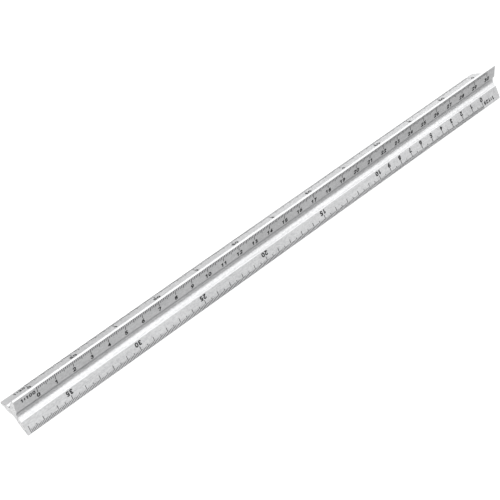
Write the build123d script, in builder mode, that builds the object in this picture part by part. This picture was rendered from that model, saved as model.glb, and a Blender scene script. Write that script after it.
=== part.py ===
from build123d import *

import os
from dataclasses import dataclass
from itertools import pairwise
from math import cos, radians, sin, sqrt

# Triangular scale ruler: a three-winged aluminium extrusion that stands on two of its wing tips.
# X runs along the ruler, Y from the front wing to the back wing, and Z up to the top wing.
# The origin is under the middle of the ruler, on the surface that it stands on. Millimetres.

# ---------------------------------------------------------------- driving dimensions

length = 319.0
outline_side = 22.1  # side of the triangle whose three sides join the outer corners of the wings
land_width = 1.0  # flat along the tip of each wing
strip_width = 7.5  # graduated flat, from the land to the lip of the flute, before rounding
lip_round = 0.6
strip_angle = 16.5  # degrees between a strip and the middle plane of its wing
flute_floor = 3.0  # from the ruler's own axis to the floor of each flute
wing_angles = {"top": 90, "front": 210, "back": 330}

ink_thickness = 0.04
line_width = 0.3  # graduation lines
edge_gap = 0.1  # bare metal between the land and the lines
numeral_height = 2.6
numeral_pitch = 2.0
numeral_drop = 5.5  # from the land down to the middle of the numerals
label_height = 2.2
label_pitch = 1.8
label_drop = 2.5  # from the land down to the middle of the ratio label
label_gap = 1.1  # from the label's last digit to the zero line
colon_pitch = 1.1
end_margin = 12.5  # from the end that a scale reads from to its zero line

# ---------------------------------------------------------------- worked-out dimensions

axis_height = outline_side / (2 * sqrt(3))
land_radius = 2 * axis_height - land_width / 2 * sqrt(3)
lip_radius = land_radius - strip_width * cos(radians(strip_angle))
lip_offset = land_width / 2 + strip_width * sin(radians(strip_angle))


def section_point(wing_angle, radial, sideways):
    """(Y, Z) of a point given along and across the middle plane of a wing."""
    angle = radians(wing_angle)
    across = (-sin(angle), cos(angle))
    y = radial * cos(angle) + sideways * across[0]
    z = radial * sin(angle) + sideways * across[1] + axis_height
    return (y, z)


# ---------------------------------------------------------------- ruler body

with BuildPart() as ruler_body:
    with BuildSketch(Plane.YZ.offset(-length / 2)) as section:
        with BuildLine():
            for angle in wing_angles.values():
                lip = section_point(angle, lip_radius, lip_offset)
                Polyline(
                    section_point(angle, lip_radius, -lip_offset),
                    section_point(angle, land_radius, -land_width / 2),
                    section_point(angle, land_radius, land_width / 2),
                    lip,
                )
                floor = section_point(angle + 60, flute_floor, 0)
                next_lip = section_point(angle + 120, lip_radius, -lip_offset)
                ThreePointArc(lip, floor, next_lip)
        make_face()
        lips = section.vertices().sort_by_distance((0, axis_height, 0))[:6]
        fillet(lips, radius=lip_round)
    extrude(amount=length)

ruler_body.part.label = "ruler_body"

# ---------------------------------------------------------------- digits
# Round-ended strokes of one width, drawn about the middle of the digit. half_width and half_height
# reach to the middle of the outermost strokes, and each bowl is a circle or a part of one.

stroke_share = 0.23  # stroke width as a share of the digit's height
width_share = 0.67  # digit width as a share of its height


def draw_path(stroke, *points):
    """Straight strokes from point to point."""
    for start, end in pairwise(points):
        middle = ((start[0] + end[0]) / 2, (start[1] + end[1]) / 2)
        SlotCenterPoint(middle, end, stroke)


def draw_arc(stroke, centre_y, radius, start_angle, sweep):
    """A round stroke about a centre on the digit's middle line."""
    SlotArc(CenterArc((0, centre_y), radius, start_angle, sweep, mode=Mode.PRIVATE), stroke)


def draw_ring(stroke, centre_y, radius):
    with Locations((0, centre_y)):
        Circle(radius + stroke / 2)
        Circle(radius - stroke / 2, mode=Mode.SUBTRACT)


def draw_digits(height):
    """A dictionary of flat glyphs of one height."""
    stroke = height * stroke_share
    half_width = (height * width_share - stroke) / 2
    half_height = (height - stroke) / 2
    big_bowl = half_height - half_width  # centre height of a bowl as wide as the digit
    upper_bowl = 0.45 * half_height
    lower_bowl = 0.52 * half_height

    with BuildSketch() as zero:
        SlotOverall(height, 2 * half_width + stroke, rotation=90)
        SlotOverall(height - 2 * stroke, 2 * half_width - stroke, rotation=90, mode=Mode.SUBTRACT)

    with BuildSketch() as one:
        stem = 0.25 * half_width
        flag = (-0.75 * half_width, 0.6 * half_height)
        draw_path(stroke, flag, (stem, half_height), (stem, -half_height))

    with BuildSketch() as two:
        draw_arc(stroke, big_bowl, half_width, 165, -210)
        shoulder = (half_width * cos(radians(45)), big_bowl - half_width * sin(radians(45)))
        draw_path(stroke, shoulder, (-half_width, -half_height), (half_width, -half_height))

    with BuildSketch() as three:
        draw_arc(stroke, half_height - upper_bowl, upper_bowl, 150, -240)
        draw_arc(stroke, lower_bowl - half_height, lower_bowl, 90, -240)

    with BuildSketch() as four:
        stem = 0.45 * half_width
        bar = -0.35 * half_height
        draw_path(stroke, (stem, -half_height), (stem, half_height), (-half_width, bar))
        draw_path(stroke, (-half_width, bar), (half_width, bar))

    with BuildSketch() as five:
        draw_arc(stroke, -big_bowl, half_width, -150, 285)
        heel = (half_width * cos(radians(135)), half_width * sin(radians(135)) - big_bowl)
        draw_path(stroke, heel, (heel[0], half_height), (0.85 * half_width, half_height))

    with BuildSketch() as six:
        draw_ring(stroke, -big_bowl, half_width)
        back = ThreePointArc(
            (-half_width, -big_bowl),
            (-0.5 * half_width, 0.55 * half_height),
            (0.6 * half_width, half_height),
            mode=Mode.PRIVATE,
        )
        SlotArc(back, stroke)

    with BuildSketch() as seven:
        foot = (-0.3 * half_width, -half_height)
        draw_path(stroke, (-half_width, half_height), (half_width, half_height), foot)

    with BuildSketch() as eight:
        draw_ring(stroke, half_height - upper_bowl, upper_bowl)
        draw_ring(stroke, lower_bowl - half_height, lower_bowl)

    with BuildSketch() as nine:
        add(six.sketch, rotation=180)

    with BuildSketch() as colon:
        with Locations((0, 0.45 * half_height), (0, -0.45 * half_height)):
            Circle(0.65 * stroke)

    glyphs = [zero, one, two, three, four, five, six, seven, eight, nine, colon]
    return {character: glyph.sketch for character, glyph in zip("0123456789:", glyphs)}


def text_places(text, digit_pitch):
    """Where each character of a centred text goes, as (character, x)."""
    advances = [colon_pitch if character == ":" else digit_pitch for character in text]
    x = -sum(advances) / 2
    places = []
    for character, advance in zip(text, advances):
        places.append((character, x + advance / 2))
        x += advance
    return places


# ---------------------------------------------------------------- scales


@dataclass
class Scale:
    """One reduction scale: its ratio, its strip, and how its metres are divided."""

    ratio: int
    wing: str
    side: int  # +1: the strip that reads to the right; -1: the one that reads to the left
    step: float  # metres between neighbouring lines
    steps: int
    medium_every: int
    long_every: int
    numerals: dict  # metres to what is written there
    line_lengths: tuple = (1.7, 2.4, 3.5)  # short, medium and long
    margin: float = end_margin

    @property
    def name(self):
        return f"1_{self.ratio}"

    @property
    def metre(self):
        return 1000 / self.ratio

    @property
    def plane(self):
        """The strip's plane: x in the reading direction, y up to the land, zero line at x = 0."""
        wing_angle = wing_angles[self.wing]
        corner = section_point(wing_angle, land_radius, self.side * land_width / 2)
        facing = radians(wing_angle + self.side * (90 - strip_angle))
        zero_x = self.side * (self.margin - length / 2)
        return Plane(
            origin=(zero_x, *corner),
            x_dir=(self.side, 0, 0),
            z_dir=(0, cos(facing), sin(facing)),
        )

    def line_length(self, index):
        short, medium, long = self.line_lengths
        if index % self.long_every == 0:
            return long
        return medium if index % self.medium_every == 0 else short


def whole_metres(last, every=1):
    return {metres: str(metres) for metres in range(0, last + 1, every)}


def half_metres(last):
    """Whole metres, with the half metres between them written as 50 centimetres."""
    halves = {metres + 0.5: "50" for metres in range(last)}
    return whole_metres(last) | halves


scales = [
    Scale(100, "top", +1, 0.1, 300, 5, 10, whole_metres(30)),
    Scale(
        125, "front", -1, 0.1, 380, 5, 10,
        whole_metres(10) | whole_metres(35, 5),
        line_lengths=(1.9, 2.7, 3.9),
        margin=13.0,
    ),
    Scale(20, "back", +1, 0.02, 300, 5, 25, half_metres(6), margin=13.5),
    Scale(25, "top", -1, 0.02, 375, 5, 25, half_metres(7)),
    Scale(50, "front", +1, 0.05, 300, 10, 20, whole_metres(15)),
    Scale(75, "back", -1, 0.1, 225, 5, 10, whole_metres(22)),
]

# ---------------------------------------------------------------- ink

numeral_glyphs = draw_digits(numeral_height)
label_glyphs = draw_digits(label_height)


def write(places, glyphs):
    """Adds glyphs to the sketch that is being drawn, from (character, x, y) places."""
    for character in sorted({place[0] for place in places}):
        spots = [(x, y) for glyph, x, y in places if glyph == character]
        with Locations(*spots):
            add(glyphs[character])


def graduations(scale):
    """The lines of one scale, grouped by their length."""
    with BuildPart() as lines:
        with BuildSketch(scale.plane):
            for line_length in scale.line_lengths:
                spots = [
                    (index * scale.step * scale.metre, -edge_gap - line_length / 2)
                    for index in range(scale.steps + 1)
                    if scale.line_length(index) == line_length
                ]
                with Locations(*spots):
                    Rectangle(line_width, line_length)
        extrude(amount=ink_thickness)
    return lines.part


def numerals(scale):
    """The metre numbers of one scale, each centred under its line."""
    places = [
        (character, metres * scale.metre + x, -numeral_drop)
        for metres, text in scale.numerals.items()
        for character, x in text_places(text, numeral_pitch)
    ]
    with BuildPart() as numbers:
        with BuildSketch(scale.plane):
            write(places, numeral_glyphs)
        extrude(amount=ink_thickness)
    return numbers.part


def ratio_label(scale):
    """The scale's ratio, just before its zero line."""
    places = text_places(f"1:{scale.ratio}", label_pitch)
    last_digit = places[-1][1] + label_height * width_share / 2
    shift = -label_gap - last_digit
    places = [(character, shift + x, -label_drop) for character, x in places]
    with BuildPart() as label:
        with BuildSketch(scale.plane):
            write(places, label_glyphs)
        extrude(amount=ink_thickness)
    return label.part


# ---------------------------------------------------------------- export

os.makedirs("parts", exist_ok=True)
export_step(ruler_body.part, "parts/ruler_body.step")

for scale in scales:
    for kind, make in (("graduations", graduations), ("numerals", numerals), ("ratio", ratio_label)):
        marking = make(scale)
        marking.label = f"{kind}_{scale.name}"
        export_step(marking, f"parts/{marking.label}.step")
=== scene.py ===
from dataclasses import dataclass
from itertools import pairwise
from math import atan2, cos, hypot, pi, radians, sin, sqrt, tan

import bpy
import numpy as np
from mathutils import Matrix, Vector
from mathutils.geometry import delaunay_2d_cdt


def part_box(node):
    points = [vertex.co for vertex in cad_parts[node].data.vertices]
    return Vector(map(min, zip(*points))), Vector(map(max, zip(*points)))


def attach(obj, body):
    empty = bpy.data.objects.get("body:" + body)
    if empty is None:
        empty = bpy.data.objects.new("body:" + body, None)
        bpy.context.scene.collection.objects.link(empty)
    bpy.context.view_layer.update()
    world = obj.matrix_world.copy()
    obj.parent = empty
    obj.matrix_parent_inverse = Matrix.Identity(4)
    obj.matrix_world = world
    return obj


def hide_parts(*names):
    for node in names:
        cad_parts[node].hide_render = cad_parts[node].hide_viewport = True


# Triangular scale ruler: what it looks like. The metal and the ink are new, finer meshes that stand
# for the CAD nodes. X runs along the ruler, Y from the front wing to the back wing, and Z up to the
# top wing. Sizes are in millimetres, and in metres from the materials on.

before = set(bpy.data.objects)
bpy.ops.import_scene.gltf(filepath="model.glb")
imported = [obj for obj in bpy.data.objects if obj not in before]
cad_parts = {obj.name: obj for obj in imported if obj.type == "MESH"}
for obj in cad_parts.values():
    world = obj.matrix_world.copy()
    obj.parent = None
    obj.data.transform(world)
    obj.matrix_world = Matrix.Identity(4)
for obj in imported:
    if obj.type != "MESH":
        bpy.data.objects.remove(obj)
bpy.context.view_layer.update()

MM = 0.001
low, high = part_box("ruler_body")
length = (high.x - low.x) / MM

# ---------------------------------------------------------------- sizes of the section, in mm

outline_side = 22.1
land_width = 1.0
strip_width = 7.5  # from the land to the lip, before the lip is rounded
strip_angle = radians(16.5)
flute_floor = 3.0  # from the ruler's own axis
wing_angles = {"top": radians(90), "front": radians(210), "back": radians(330)}

lip_round = 0.6
land_corner_round = 0.08
end_chamfer = 0.07
worn_band = 0.1  # how far the rubbed metal reaches from an edge
corner_steps = 6  # faces round a land's corner
lip_steps = 8  # faces round a lip
flute_steps = 22  # faces from a lip to the flute's floor

axis_height = outline_side / (2 * sqrt(3))
land_radius = 2 * axis_height - land_width / 2 * sqrt(3)

# ---------------------------------------------------------------- sizes of the ink, in mm

ink_thickness = 0.03
line_width = 0.3  # graduation lines
edge_gap = 0.1  # bare metal between the land and the lines
numeral_height = 2.6
numeral_pitch = 2.0
numeral_drop = 5.5  # from the land down to the middle of the numerals
label_height = 2.2
label_pitch = 1.8
label_drop = 2.5  # from the land down to the middle of the ratio label
label_gap = 1.1  # from the label's last digit to the zero line
colon_pitch = 1.1
end_margin = 12.5  # from the end that a scale reads from to its zero line
stroke_share = 0.23  # stroke width as a share of the digit's height
width_share = 0.67  # digit width as a share of its height
arc_step = radians(11)  # between two points on a digit's curve
dot_points = 20  # round each dot of a colon


def turned(vector, angle):
    """A 2-D vector turned anticlockwise."""
    c, s = cos(angle), sin(angle)
    return (vector[0] * c - vector[1] * s, vector[0] * s + vector[1] * c)


def on_circle(centre, radius, angle):
    return (centre[0] + radius * cos(angle), centre[1] + radius * sin(angle))


# ---------------------------------------------------------------- section outline


@dataclass
class OutlinePoint:
    y: float
    z: float
    normal: tuple  # (y, z), out of the metal
    worn: float  # 1 on an edge, 0 on open metal


def lip_and_flute():
    """The centre of the lip's round, the centre of the flute's arc, and the radius of that arc.

    Points here are in the wing's own frame: along its middle plane, then across it.
    """
    corner = np.array([land_radius, land_width / 2])
    down = np.array([-cos(strip_angle), sin(strip_angle)])
    outward = np.array([sin(strip_angle), cos(strip_angle)])
    sharp_lip = corner + strip_width * down

    # The flute's arc goes through the sharp lip, the flute's floor and the next wing's lip.
    between_wings = np.array([0.5, sqrt(3) / 2])
    along = sharp_lip @ between_wings
    across = sqrt(sharp_lip @ sharp_lip - along**2)
    flute_distance = (along**2 + across**2 - flute_floor**2) / (2 * (along - flute_floor))
    flute_radius = flute_distance - flute_floor
    flute_centre = flute_distance * between_wings

    # The round's centre slides down at lip_round under the strip, until the round touches the arc.
    start = corner - lip_round * outward - flute_centre
    half_b = start @ down
    reach = flute_radius + lip_round
    slide = -half_b - sqrt(half_b**2 - start @ start + reach**2)
    round_centre = corner + slide * down - lip_round * outward
    return round_centre, flute_centre, flute_radius


def arc_points(centre, radius, start, end, steps, hollow=False, worn=0.0):
    """Outline points along an arc. The metal is inside it, or outside it when hollow."""
    points = []
    for step in range(steps + 1):
        angle = start + (end - start) * step / steps
        y, z = on_circle(centre, radius, angle)
        facing = angle + pi if hollow else angle
        points.append(OutlinePoint(y, z, (cos(facing), sin(facing)), worn))
    return points


def wing_side():
    """Half a wing's outline in its own frame, from its land to the flute's floor."""
    strip_facing = pi / 2 - strip_angle
    inset = land_corner_round * tan(strip_facing / 2)
    corner_centre = (land_radius - land_corner_round, land_width / 2 - inset)
    corner = arc_points(corner_centre, land_corner_round, 0, strip_facing, corner_steps, worn=1.0)

    round_centre, flute_centre, flute_radius = lip_and_flute()
    to_flute = flute_centre - round_centre
    lip_end = atan2(to_flute[1], to_flute[0])
    lip = arc_points(round_centre, lip_round, strip_facing, lip_end, lip_steps, worn=1.0)
    floor_angle = pi + pi / 3
    flute = arc_points(
        flute_centre, flute_radius, pi + lip_end, floor_angle, flute_steps, hollow=True
    )

    # The rubbed band along each edge of the strip fades out at one more point.
    down = (-cos(strip_angle), sin(strip_angle))
    outward = (cos(strip_facing), sin(strip_facing))
    open_metal = []
    for edge, way in ((corner[-1], 1), (lip[0], -1)):
        y = edge.y + way * worn_band * down[0]
        z = edge.z + way * worn_band * down[1]
        open_metal.append(OutlinePoint(y, z, outward, 0.0))
    return corner + open_metal + lip + flute[1:]


def section_outline():
    """The whole outline, anticlockwise seen along -X, with no point twice."""
    outline = []
    side = wing_side()
    mirrored = [OutlinePoint(p.y, -p.z, (p.normal[0], -p.normal[1]), p.worn) for p in side]
    for angle in wing_angles.values():
        for p in mirrored[::-1] + side[:-1]:
            y, z = turned((p.y, p.z), angle)
            outline.append(OutlinePoint(y, z + axis_height, turned(p.normal, angle), p.worn))
    return outline


# ---------------------------------------------------------------- meshes


def signed_area(polygon):
    closed = [*polygon, polygon[0]]
    return sum(ax * by - bx * ay for (ax, ay), (bx, by) in pairwise(closed)) / 2


def fill(polygons):
    """Triangles that cover a set of 2-D polygons, overlaps joined: (points, triangles)."""
    polygons = [polygon if signed_area(polygon) > 0 else polygon[::-1] for polygon in polygons]
    points = [Vector(point) for polygon in polygons for point in polygon]
    faces, first = [], 0
    for polygon in polygons:
        faces.append(list(range(first, first + len(polygon))))
        first += len(polygon)
    inside_only, weld = 1, 1e-5
    found, _, triangles, _, _, sources = delaunay_2d_cdt(points, [], faces, inside_only, weld)
    kept = [triangle for triangle, source in zip(triangles, sources) if source]
    used = sorted({k for triangle in kept for k in triangle})
    number = {k: new for new, k in enumerate(used)}
    return [found[k] for k in used], [[number[k] for k in triangle] for triangle in kept]


def new_piece(name, vertices, faces, cad_node):
    """A mesh object that rides on the ruler and stands for one CAD node."""
    mesh = bpy.data.meshes.new(name)
    mesh.from_pydata(vertices, [], faces)
    piece = bpy.data.objects.new(name, mesh)
    bpy.context.scene.collection.objects.link(piece)
    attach(piece, "root")
    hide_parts(cad_node)
    return piece


def make_metal(side_material, end_material):
    """The extrusion, with a small chamfer round each of its two cut ends."""
    outline = section_outline()
    count = len(outline)
    half = length / 2
    # The rings of points, from left to right: x, and how far in from the outline.
    rings = (
        (-half, end_chamfer),
        (end_chamfer - half, 0),
        (half - end_chamfer, 0),
        (half, end_chamfer),
    )
    vertices = []
    for x, inset in rings:
        for p in outline:
            place = (x, p.y - inset * p.normal[0], p.z - inset * p.normal[1])
            vertices.append([value * MM for value in place])

    faces, normals = [], []
    leans = (-1, 0, 1)  # the faces between two rings look towards -X, straight out, towards +X
    for band, lean in enumerate(leans):
        near, far = band * count, (band + 1) * count
        for i in range(count):
            j = (i + 1) % count
            faces.append([near + i, near + j, far + j, far + i])
            normals += [Vector((lean, *outline[k].normal)).normalized() for k in (i, j, j, i)]
    side_faces = len(faces)

    for ring_number, facing in ((0, -1), (len(rings) - 1, 1)):
        first = ring_number * count
        loop = vertices[first:first + count]
        points, triangles = fill([[(y / MM, z / MM) for _, y, z in loop]])
        if len(points) != count:
            raise ValueError("the end face's outline crosses itself")
        for triangle in triangles:
            corners = [first + k for k in triangle]
            faces.append(corners if facing > 0 else corners[::-1])
            normals += [Vector((facing, 0, 0))] * 3
    end_faces = len(faces) - side_faces

    piece = new_piece("ruler_metal", vertices, faces, "ruler_body")
    mesh = piece.data
    mesh.materials.append(side_material)
    mesh.materials.append(end_material)
    mesh.polygons.foreach_set("material_index", [0] * side_faces + [1] * end_faces)
    mesh.polygons.foreach_set("use_smooth", [True] * len(faces))
    worn = mesh.attributes.new("worn", "FLOAT", "POINT")
    worn.data.foreach_set("value", [p.worn for _ in rings for p in outline])
    mesh.normals_split_custom_set(normals)


# ---------------------------------------------------------------- digits, as 2-D polygons


def arc_steps(sweep):
    return max(2, round(abs(sweep) / arc_step))


def sector(centre, radius, start, sweep, stroke, capped=True):
    """A round stroke, with round ends when capped."""
    half = stroke / 2
    steps = arc_steps(sweep)
    turns = [start + sweep * step / steps for step in range(steps + 1)]
    outer = [on_circle(centre, radius + half, angle) for angle in turns]
    inner = [on_circle(centre, radius - half, angle) for angle in reversed(turns)]
    if not capped:
        return outer + inner
    way = 1 if sweep > 0 else -1
    cap_steps = arc_steps(pi)
    caps = []
    for angle, first in ((turns[-1], turns[-1]), (turns[0], turns[0] + pi)):
        middle = on_circle(centre, radius, angle)
        cap_turns = [first + way * pi * k / cap_steps for k in range(1, cap_steps)]
        caps.append([on_circle(middle, half, angle) for angle in cap_turns])
    return outer + caps[0] + inner + caps[1]


def capsule(start, end, stroke):
    """A straight stroke with round ends."""
    heading = atan2(end[1] - start[1], end[0] - start[0])
    steps = arc_steps(pi)
    points = []
    for middle, first in ((end, heading - pi / 2), (start, heading + pi / 2)):
        points += [on_circle(middle, stroke / 2, first + pi * k / steps) for k in range(steps + 1)]
    return points


def path(stroke, *points):
    return [capsule(start, end, stroke) for start, end in pairwise(points)]


def ring(centre_y, radius, stroke):
    return [sector((0, centre_y), radius, start, pi, stroke, capped=False) for start in (0, pi)]


def bowl(centre_y, radius, start, sweep, stroke):
    return [sector((0, centre_y), radius, radians(start), radians(sweep), stroke)]


def arc_through(start, middle, end, stroke):
    """A round stroke through three points, less than half a turn long."""
    (ax, ay), (bx, by), (cx, cy) = start, middle, end
    d = 2 * (ax * (by - cy) + bx * (cy - ay) + cx * (ay - by))
    a2, b2, c2 = ax * ax + ay * ay, bx * bx + by * by, cx * cx + cy * cy
    x = (a2 * (by - cy) + b2 * (cy - ay) + c2 * (ay - by)) / d
    y = (a2 * (cx - bx) + b2 * (ax - cx) + c2 * (bx - ax)) / d
    first = atan2(ay - y, ax - x)
    last = atan2(cy - y, cx - x)
    sweep = (last - first + pi) % (2 * pi) - pi
    return [sector((x, y), hypot(ax - x, ay - y), first, sweep, stroke)]


def upright(middle_x, half_height, stroke):
    """A straight stroke up the side of a digit, with square ends."""
    left, right = middle_x - stroke / 2, middle_x + stroke / 2
    bottom, top = -half_height, half_height
    return [[(left, bottom), (right, bottom), (right, top), (left, top)]]


def draw_digits(height):
    """Every character's polygons, about its middle. Each bowl is a circle or a part of one."""
    stroke = height * stroke_share
    # These two reach to the middle of the outermost strokes.
    half_width = (height * width_share - stroke) / 2
    half_height = (height - stroke) / 2
    big_bowl = half_height - half_width  # centre height of a bowl as wide as the digit
    upper_bowl = 0.45 * half_height
    lower_bowl = 0.52 * half_height
    upper_centre = half_height - upper_bowl
    lower_centre = lower_bowl - half_height

    zero = [
        sector((0, big_bowl), half_width, 0, pi, stroke, capped=False),
        sector((0, -big_bowl), half_width, pi, pi, stroke, capped=False),
        *upright(-half_width, big_bowl, stroke),
        *upright(half_width, big_bowl, stroke),
    ]

    stem = 0.25 * half_width
    flag = (-0.75 * half_width, 0.6 * half_height)
    one = path(stroke, flag, (stem, half_height), (stem, -half_height))

    elbow = half_width * cos(radians(45))
    shoulder = (elbow, big_bowl - elbow)
    two = bowl(big_bowl, half_width, 165, -210, stroke)
    two += path(stroke, shoulder, (-half_width, -half_height), (half_width, -half_height))

    three = bowl(upper_centre, upper_bowl, 150, -240, stroke)
    three += bowl(lower_centre, lower_bowl, 90, -240, stroke)

    stem = 0.45 * half_width
    bar = -0.35 * half_height
    foot, top = (stem, -half_height), (stem, half_height)
    four = path(stroke, foot, top, (-half_width, bar), (half_width, bar))

    heel = (-elbow, elbow - big_bowl)
    five = bowl(-big_bowl, half_width, -150, 285, stroke)
    five += path(stroke, heel, (heel[0], half_height), (0.85 * half_width, half_height))

    six = ring(-big_bowl, half_width, stroke) + arc_through(
        (-half_width, -big_bowl),
        (-0.5 * half_width, 0.55 * half_height),
        (0.6 * half_width, half_height),
        stroke,
    )

    foot = (-0.3 * half_width, -half_height)
    seven = path(stroke, (-half_width, half_height), (half_width, half_height), foot)

    eight = ring(upper_centre, upper_bowl, stroke) + ring(lower_centre, lower_bowl, stroke)

    nine = [[(-x, -y) for x, y in polygon] for polygon in six]

    dot = [on_circle((0, 0), 0.65 * stroke, 2 * pi * k / dot_points) for k in range(dot_points)]
    colon = [[(x, y + way * 0.45 * half_height) for x, y in dot] for way in (1, -1)]

    glyphs = [zero, one, two, three, four, five, six, seven, eight, nine, colon]
    return dict(zip("0123456789:", glyphs))


def text_places(text, digit_pitch):
    """Where each character of a centred text goes, as (character, x)."""
    advances = [colon_pitch if character == ":" else digit_pitch for character in text]
    x = -sum(advances) / 2
    places = []
    for character, advance in zip(text, advances):
        places.append((character, x + advance / 2))
        x += advance
    return places


# ---------------------------------------------------------------- scales


@dataclass
class Scale:
    """One reduction scale: its ratio, its strip, and how its metres are divided."""

    ratio: int
    wing: str
    side: int  # +1: the strip that reads to the right; -1: the one that reads to the left
    step: float  # metres between neighbouring lines
    steps: int
    medium_every: int
    long_every: int
    numerals: dict  # metres to what is written there
    line_lengths: tuple = (1.7, 2.4, 3.5)  # short, medium and long
    margin: float = end_margin

    @property
    def name(self):
        return f"1_{self.ratio}"

    @property
    def metre(self):
        """How long one metre is on this scale."""
        return 1000 / self.ratio

    def on_strip(self, x, y, height):
        """The place of a point drawn on the strip: x from the zero line, y up to the land."""
        wing_angle = wing_angles[self.wing]
        corner = turned((land_radius, self.side * land_width / 2), wing_angle)
        facing = wing_angle + self.side * (pi / 2 - strip_angle)
        up = facing - self.side * pi / 2
        return Vector((
            self.side * (self.margin - length / 2 + x),
            corner[0] + y * cos(up) + height * cos(facing),
            corner[1] + axis_height + y * sin(up) + height * sin(facing),
        )) * MM

    def line_length(self, index):
        short, medium, long = self.line_lengths
        if index % self.long_every == 0:
            return long
        return medium if index % self.medium_every == 0 else short


def whole_metres(last, every=1):
    return {metres: str(metres) for metres in range(0, last + 1, every)}


def half_metres(last):
    """Whole metres, with the half metres between them written as 50 centimetres."""
    return whole_metres(last) | {metres + 0.5: "50" for metres in range(last)}


scales = [
    Scale(100, "top", +1, 0.1, 300, 5, 10, whole_metres(30)),
    Scale(
        125, "front", -1, 0.1, 380, 5, 10,
        whole_metres(10) | whole_metres(35, 5),
        line_lengths=(1.9, 2.7, 3.9),
        margin=13.0,
    ),
    Scale(20, "back", +1, 0.02, 300, 5, 25, half_metres(6), margin=13.5),
    Scale(25, "top", -1, 0.02, 375, 5, 25, half_metres(7)),
    Scale(50, "front", +1, 0.05, 300, 10, 20, whole_metres(15)),
    Scale(75, "back", -1, 0.1, 225, 5, 10, whole_metres(22)),
]


def graduation_polygons(scale):
    """One rectangle per line, hanging down from just under the land."""
    polygons = []
    top = -edge_gap
    for index in range(scale.steps + 1):
        x = index * scale.step * scale.metre
        bottom = top - scale.line_length(index)
        left, right = x - line_width / 2, x + line_width / 2
        polygons.append([(left, bottom), (right, bottom), (right, top), (left, top)])
    return polygons


def written(places, glyphs):
    """Polygons of the characters at (character, x, y) places."""
    return [
        [(px + x, py + y) for px, py in polygon]
        for character, x, y in places
        for polygon in glyphs[character]
    ]


def numeral_polygons(scale, glyphs):
    """The metre numbers of one scale, each centred under its line."""
    places = [
        (character, metres * scale.metre + x, -numeral_drop)
        for metres, text in scale.numerals.items()
        for character, x in text_places(text, numeral_pitch)
    ]
    return written(places, glyphs)


def ratio_polygons(scale, glyphs):
    """The scale's ratio, just before its zero line."""
    places = text_places(f"1:{scale.ratio}", label_pitch)
    shift = -label_gap - places[-1][1] - label_height * width_share / 2
    return written([(character, shift + x, -label_drop) for character, x in places], glyphs)


def make_ink(kind, scale, polygons, material):
    """A flat closed layer of ink on the scale's strip: its top, its underside and its rim."""
    points, triangles = fill(polygons)
    count = len(points)
    heights = (0.0, ink_thickness)
    vertices = [scale.on_strip(p.x, p.y, height) for height in heights for p in points]
    faces = []
    for a, b, c in triangles:
        faces += [[a + count, b + count, c + count], [c, b, a]]
    edges = dict.fromkeys(edge for a, b, c in triangles for edge in ((a, b), (b, c), (c, a)))
    for start, end in edges:
        if (end, start) not in edges:
            faces.append([start, end, end + count, start + count])
    cad_node = f"{kind}_{scale.name}"
    piece = new_piece(cad_node + "_ink", vertices, faces, cad_node)
    piece.data.materials.append(material)


# ---------------------------------------------------------------- materials


class Nodes:
    """A material's node tree, with short calls for the nodes used here."""

    def __init__(self, name):
        self.material = bpy.data.materials.new(name)
        self.material.use_nodes = True
        self.tree = self.material.node_tree
        self.shader = self.tree.nodes["Principled BSDF"]
        self.place = self.tree.nodes.new("ShaderNodeTexCoord").outputs["Object"]

    def link(self, source, target):
        self.tree.links.new(source, target)

    def give(self, socket_name, value):
        """Sets one of the shader's own values."""
        self.shader.inputs[socket_name].default_value = value

    def mapped(self, scale, shift=(0.0, 0.0, 0.0)):
        """Places on the piece, in metres, times scale and then shifted."""
        mapping = self.tree.nodes.new("ShaderNodeMapping")
        mapping.inputs["Location"].default_value = shift
        mapping.inputs["Scale"].default_value = scale
        self.link(self.place, mapping.inputs["Vector"])
        return mapping.outputs["Vector"]

    def noise(self, along, across, detail, roughness=0.55):
        """Noise with so many lumps per metre along the ruler and across it."""
        node = self.tree.nodes.new("ShaderNodeTexNoise")
        node.inputs["Scale"].default_value = 1.0
        node.inputs["Detail"].default_value = detail
        node.inputs["Roughness"].default_value = roughness
        self.link(self.mapped((along, across, across)), node.inputs["Vector"])
        return node.outputs["Fac"]

    def ramp(self, value, low, high, to_low=0.0, to_high=1.0):
        """value from low to high becomes to_low to to_high, clamped."""
        node = self.tree.nodes.new("ShaderNodeMapRange")
        limits = {"From Min": low, "From Max": high, "To Min": to_low, "To Max": to_high}
        for name, limit in limits.items():
            node.inputs[name].default_value = limit
        self.link(value, node.inputs["Value"])
        return node.outputs["Result"]

    def math(self, operation, a, b):
        node = self.tree.nodes.new("ShaderNodeMath")
        node.operation = operation
        for socket, value in zip(node.inputs, (a, b)):
            if isinstance(value, (int, float)):
                socket.default_value = value
            else:
                self.link(value, socket)
        return node.outputs["Value"]

    def blend(self, first, second, share):
        """share of the first value and the rest of the second."""
        return self.math(
            "ADD", self.math("MULTIPLY", first, share), self.math("MULTIPLY", second, 1 - share)
        )

    def mix(self, factor, first, second):
        """Between two colours, each a tuple or a socket."""
        node = self.tree.nodes.new("ShaderNodeMix")
        node.data_type = "RGBA"
        self.link(factor, node.inputs["Factor"])
        colours = [socket for socket in node.inputs if socket.type == "RGBA"]
        for socket, value in zip(colours, (first, second)):
            if isinstance(value, tuple):
                socket.default_value = (*value, 1.0)
            else:
                self.link(value, socket)
        return [socket for socket in node.outputs if socket.type == "RGBA"][0]

    def bump(self, height, depth):
        node = self.tree.nodes.new("ShaderNodeBump")
        node.inputs["Distance"].default_value = depth
        self.link(height, node.inputs["Height"])
        self.link(node.outputs["Normal"], self.shader.inputs["Normal"])


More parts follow.
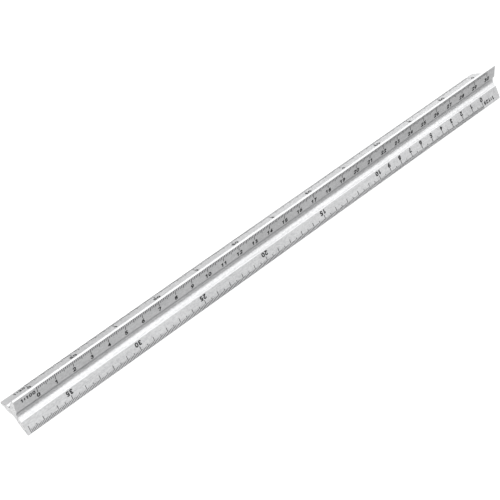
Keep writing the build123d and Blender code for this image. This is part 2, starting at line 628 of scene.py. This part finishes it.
def satin_aluminium():
    """Clear-anodised extrusion: fine die lines along the length, a dull grain, rubbed edges."""
    dark_metal, light_metal = (0.285, 0.287, 0.29), (0.395, 0.396, 0.4)
    rubbed_metal = (0.36, 0.36, 0.365)
    rubbed_polish = 0.08  # how much smoother rubbed metal is
    bump_depth = 2.0e-6

    n = Nodes("satin_aluminium")
    lines = n.noise(6.0, 5200.0, detail=4.0, roughness=0.6)
    grain = n.noise(9000.0, 14000.0, detail=2.0)
    specks = n.noise(900.0, 1500.0, detail=2.0)
    smudges = n.noise(28.0, 90.0, detail=3.0)
    worn = n.tree.nodes.new("ShaderNodeAttribute")
    worn.attribute_name = "worn"
    patchy = n.ramp(n.noise(140.0, 600.0, detail=3.0), 0.35, 0.6, 0.35, 1.0)
    rubbed = n.math("MULTIPLY", worn.outputs["Fac"], patchy)

    tone = n.blend(lines, n.blend(smudges, specks, 0.35), 0.35)
    metal = n.mix(n.ramp(tone, 0.4, 0.6), dark_metal, light_metal)
    n.link(n.mix(rubbed, metal, rubbed_metal), n.shader.inputs["Base Color"])

    dull = n.math("ADD", n.ramp(lines, 0.3, 0.7, 0.37, 0.45), n.ramp(grain, 0.3, 0.7, -0.02, 0.03))
    polish = n.math("MULTIPLY", rubbed, rubbed_polish)
    n.link(n.math("SUBTRACT", dull, polish), n.shader.inputs["Roughness"])
    n.give("Metallic", 1.0)
    n.bump(n.math("ADD", lines, n.math("MULTIPLY", grain, 0.35)), bump_depth)
    return n.material


def sawn_aluminium():
    """Raw cut end: close curved saw lines and a mottled face."""
    dark_cut, light_cut = (0.24, 0.24, 0.245), (0.5, 0.5, 0.5)
    line_scale = 900.0  # puts the saw lines about 0.35 mm apart
    centre_shift = (0.0, 60.0, -45.0)  # puts the saw's centre 67 mm in front and 50 mm up
    bump_depth = 8.0e-6

    n = Nodes("sawn_aluminium")
    saw = n.tree.nodes.new("ShaderNodeTexWave")
    saw.wave_type = "RINGS"
    saw.rings_direction = "X"
    saw.inputs["Scale"].default_value = 1.0
    saw.inputs["Distortion"].default_value = 1.5
    saw.inputs["Detail"].default_value = 2.0
    n.link(n.mapped((line_scale, line_scale, line_scale), centre_shift), saw.inputs["Vector"])
    mottle = n.noise(500.0, 500.0, detail=4.0)

    bright = n.ramp(n.blend(saw.outputs["Fac"], mottle, 0.35), 0.38, 0.62)
    n.link(n.mix(bright, dark_cut, light_cut), n.shader.inputs["Base Color"])
    n.link(n.ramp(mottle, 0.3, 0.7, 0.42, 0.6), n.shader.inputs["Roughness"])
    n.give("Metallic", 0.85)
    n.bump(saw.outputs["Fac"], bump_depth)
    return n.material


def printed_ink():
    """Matt black ink, a little thin and uneven."""
    dense_ink, thin_ink = (0.004, 0.004, 0.0045), (0.014, 0.014, 0.015)
    bump_depth = 2.0e-6

    n = Nodes("printed_ink")
    uneven = n.noise(7000.0, 7000.0, detail=3.0)
    patches = n.noise(300.0, 300.0, detail=2.0)
    thinness = n.ramp(n.blend(uneven, patches, 0.5), 0.35, 0.65)
    n.link(n.mix(thinness, dense_ink, thin_ink), n.shader.inputs["Base Color"])
    n.link(n.ramp(uneven, 0.3, 0.7, 0.6, 0.8), n.shader.inputs["Roughness"])
    n.give("Specular IOR Level", 0.08)
    n.bump(uneven, bump_depth)
    return n.material


def pale_floor():
    """A pale, softly glowing surface that is clear when it is looked at from below."""
    dark_floor, light_floor = (0.195, 0.195, 0.195), (0.205, 0.205, 0.205)
    n = Nodes("pale_floor")
    mottled = n.noise(3.0, 3.0, detail=3.0)
    n.link(n.mix(mottled, dark_floor, light_floor), n.shader.inputs["Base Color"])
    n.give("Roughness", 0.9)
    n.give("Emission Color", (1.0, 1.0, 1.0, 1.0))
    n.give("Emission Strength", 0.6)
    n.give("Specular IOR Level", 0.1)

    nodes = n.tree.nodes
    from_below = nodes.new("ShaderNodeNewGeometry").outputs["Backfacing"]
    clear = nodes.new("ShaderNodeBsdfTransparent").outputs["BSDF"]
    either = nodes.new("ShaderNodeMixShader")
    n.link(from_below, either.inputs[0])
    n.link(n.shader.outputs["BSDF"], either.inputs[1])
    n.link(clear, either.inputs[2])
    n.link(either.outputs["Shader"], nodes["Material Output"].inputs["Surface"])
    return n.material


# ---------------------------------------------------------------- floor, light, camera

floor_reach = 4.0  # from the middle of the floor to each of its sides
floor_drop = 0.00002  # keeps the floor just clear of the wing tips

# Where the backdrop rises from dim to bright, as the sine of the angle above the horizon.
rise_start, rise_end = 0.22, 0.42
horizon_strength, overhead_strength = 0.4, 3.05

# Most light comes from low behind the ruler. A small softbox lights the left end, and a weak one
# fills in from the front. Each is: name, place, width, height, watts.
softboxes = (
    ("back", (0.6, 0.8, 0.08), 0.9, 0.5, 7.2),
    ("front", (0.55, -0.65, 0.3), 0.4, 0.4, 0.22),
    ("left", (-0.45, -0.1, 0.35), 0.3, 0.3, 4.5),
)

# The camera was fitted to the photo's numerals, edges and end outlines.
camera_place = (-0.28799, -0.21553, 0.54233)
camera_turn = (radians(32.20), radians(-6.14), radians(-41.87))
camera_sensor = 36.0  # width, in millimetres
camera_lens = 93.5  # in millimetres


def make_floor():
    """A plain floor that glows softly, like a light table, so that the underside gets light."""
    mesh = bpy.data.meshes.new("floor")
    quarters = ((-1, -1), (1, -1), (1, 1), (-1, 1))
    corners = [(x * floor_reach, y * floor_reach, 0) for x, y in quarters]
    mesh.from_pydata(corners, [], [(0, 1, 2, 3)])
    floor = bpy.data.objects.new("floor", mesh)
    floor.location.z = -floor_drop
    bpy.context.scene.collection.objects.link(floor)
    mesh.materials.append(pale_floor())


def make_backdrop():
    """A plain white studio all round, dim at the horizon and bright overhead."""
    world = bpy.data.worlds.new("studio")
    world.use_nodes = True
    tree = world.node_tree
    place = tree.nodes.new("ShaderNodeTexCoord").outputs["Generated"]
    parts = tree.nodes.new("ShaderNodeSeparateXYZ")
    rise = tree.nodes.new("ShaderNodeMapRange")
    rise.interpolation_type = "SMOOTHSTEP"
    rise.inputs["From Min"].default_value = rise_start
    rise.inputs["From Max"].default_value = rise_end
    rise.inputs["To Min"].default_value = horizon_strength
    rise.inputs["To Max"].default_value = overhead_strength
    background = tree.nodes["Background"]
    background.inputs["Color"].default_value = (1.0, 1.0, 1.0, 1.0)
    tree.links.new(place, parts.inputs["Vector"])
    tree.links.new(parts.outputs["Z"], rise.inputs["Value"])
    tree.links.new(rise.outputs["Result"], background.inputs["Strength"])
    bpy.context.scene.world = world


def make_softbox(name, place, width, height, watts):
    """A soft light that faces the middle of the ruler."""
    light = bpy.data.lights.new(name, "AREA")
    light.shape = "RECTANGLE"
    light.size, light.size_y = width, height
    light.energy = watts
    lamp = bpy.data.objects.new(name, light)
    lamp.location = place
    lamp.rotation_euler = (-Vector(place)).to_track_quat("-Z", "Y").to_euler()
    bpy.context.scene.collection.objects.link(lamp)


def make_camera():
    data = bpy.data.cameras.new("camera")
    data.sensor_width = camera_sensor
    data.lens = camera_lens
    camera = bpy.data.objects.new("camera", data)
    camera.location = camera_place
    camera.rotation_euler = camera_turn
    bpy.context.scene.collection.objects.link(camera)
    bpy.context.scene.camera = camera


# ---------------------------------------------------------------- the scene

make_metal(satin_aluminium(), sawn_aluminium())
ink = printed_ink()
numeral_glyphs = draw_digits(numeral_height)
label_glyphs = draw_digits(label_height)
for scale in scales:
    make_ink("graduations", scale, graduation_polygons(scale), ink)
    make_ink("numerals", scale, numeral_polygons(scale, numeral_glyphs), ink)
    make_ink("ratio", scale, ratio_polygons(scale, label_glyphs), ink)

make_floor()
make_backdrop()
for softbox in softboxes:
    make_softbox(*softbox)
make_camera()
bpy.context.scene.view_settings.view_transform = "Standard"
